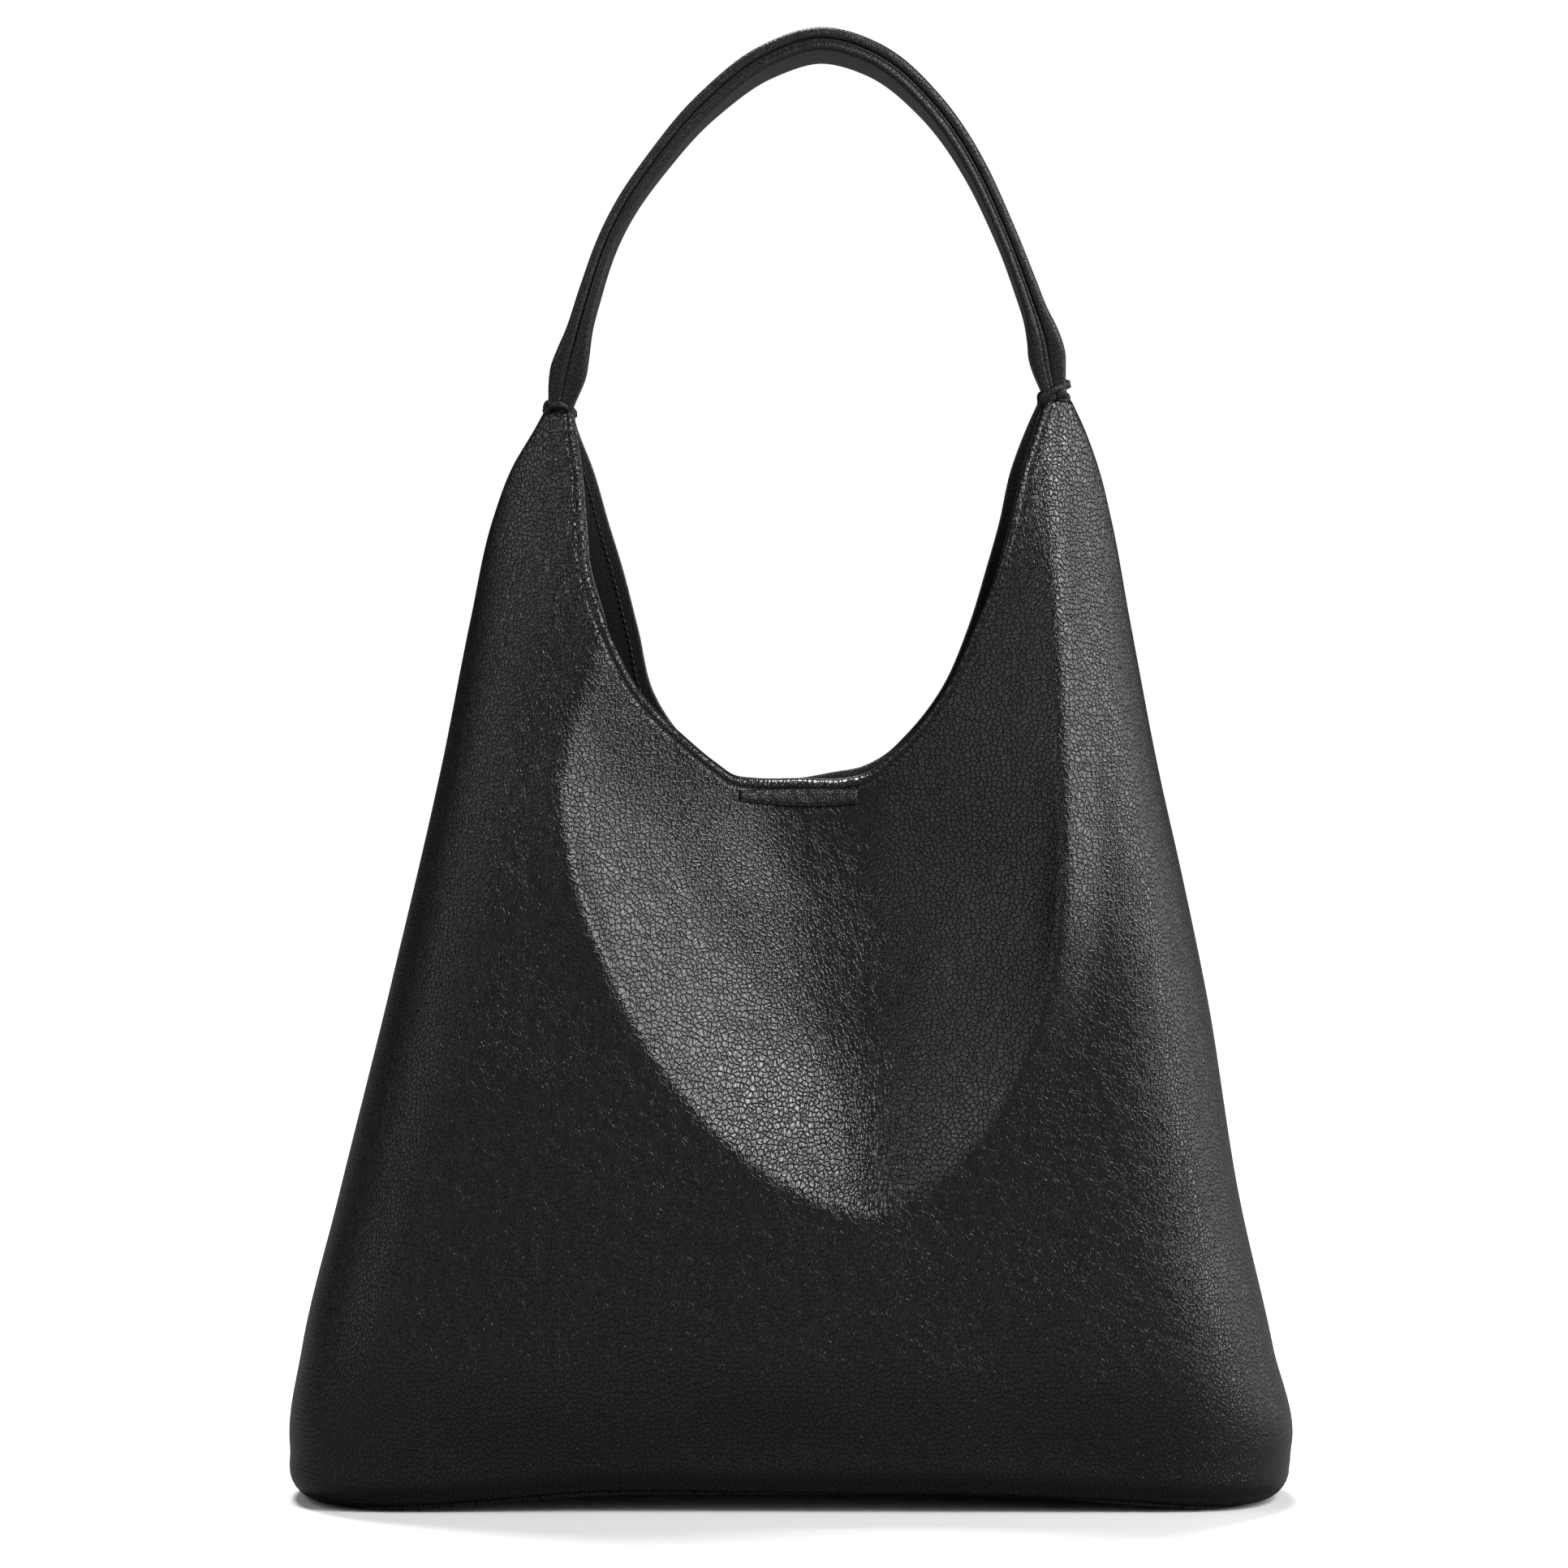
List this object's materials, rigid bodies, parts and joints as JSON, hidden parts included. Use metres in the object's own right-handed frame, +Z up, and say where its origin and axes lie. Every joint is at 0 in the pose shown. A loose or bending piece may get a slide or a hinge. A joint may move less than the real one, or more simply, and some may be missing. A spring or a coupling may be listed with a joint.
{
  "type": "hobo bag",
  "caption": "Slouchy leather hobo shoulder bag with a scooped magnetic mouth, boxed base, inner zip pocket and a folded leather strap that swings on the two horns.",
  "frame": {"origin": "on the ground plane under the middle of the base", "axes": "+Z up, the front with the stitched tab faces -Y, +X to the right seen from the front"},
  "size_m": [0.4, 0.1202, 0.585],
  "materials": {
    "shell_leather": "black pebbled leather with a soft satin gloss",
    "facing_leather": "smooth black leather, satin",
    "lining_cloth": "dark woven twill, matte",
    "stiffener": "grey-brown fibre board, matte",
    "snap_metal": "dark nickel plated steel, satin",
    "zip_metal": "gunmetal plated, satin",
    "zip_cloth": "black woven zip tape, matte",
    "webbing": "woven polyester webbing, matte",
    "thread": "black twisted polyester sewing thread"
  },
  "bodies": {
    "bag": {"front_panel": "shell_leather", "back_panel": "shell_leather", "base_panel": "shell_leather", "base_board": "stiffener", "facing_front_left": "facing_leather", "facing_front_right": "facing_leather", "facing_back": "facing_leather", "lining_front": "lining_cloth", "lining_back": "lining_cloth", "lining_base": "lining_cloth", "side_tape_left": "lining_cloth", "side_tape_right": "lining_cloth", "snap_socket_half": "snap_metal", "snap_socket_plate": "snap_metal", "zip_pocket_bag": "lining_cloth", "zip_welt": "facing_leather", "zip_tape_upper": "zip_cloth", "zip_tape_lower": "zip_cloth", "zip_teeth_upper": "zip_metal", "zip_teeth_lower": "zip_metal", "zip_stop_left": "zip_metal", "zip_stop_right": "zip_metal", "horn_neck_left": "shell_leather", "horn_neck_right": "shell_leather"},
    "lip": {"front_lip": "shell_leather", "facing_front_lip": "facing_leather", "lining_front_lip": "lining_cloth", "closure_tab": "shell_leather", "snap_stud_half": "snap_metal", "snap_stud_plate": "snap_metal"},
    "handle": {"strap_outer": "shell_leather", "strap_core": "webbing", "strap_inner": "shell_leather", "strap_end_left": "shell_leather", "strap_end_right": "shell_leather"},
    "slider": {"zip_slider": "zip_metal"},
    "puller": {"zip_puller": "zip_metal"}
  },
  "joints": [
    {"name": "strap_swing", "type": "hinge", "parent": "bag", "child": "handle", "pos_m": [0.00617, 0, 0.438], "axis": [1, 0, 0], "range_deg": [-120, 120]},
    {"name": "mouth_open", "type": "hinge", "parent": "bag", "child": "lip", "pos_m": [0, -0.056, 0.12575], "axis": [1, 0, 0], "range_deg": [0, 22]},
    {"name": "zip_slide", "type": "slide", "parent": "bag", "child": "slider", "axis": [1, 0, 0], "range_m": [0, 0.133]},
    {"name": "zip_pull_swing", "type": "hinge", "parent": "slider", "child": "puller", "pos_m": [-0.06578, 0.03142, 0.195], "axis": [-1, 0, 0], "range_deg": [0, 150]}
  ]
}
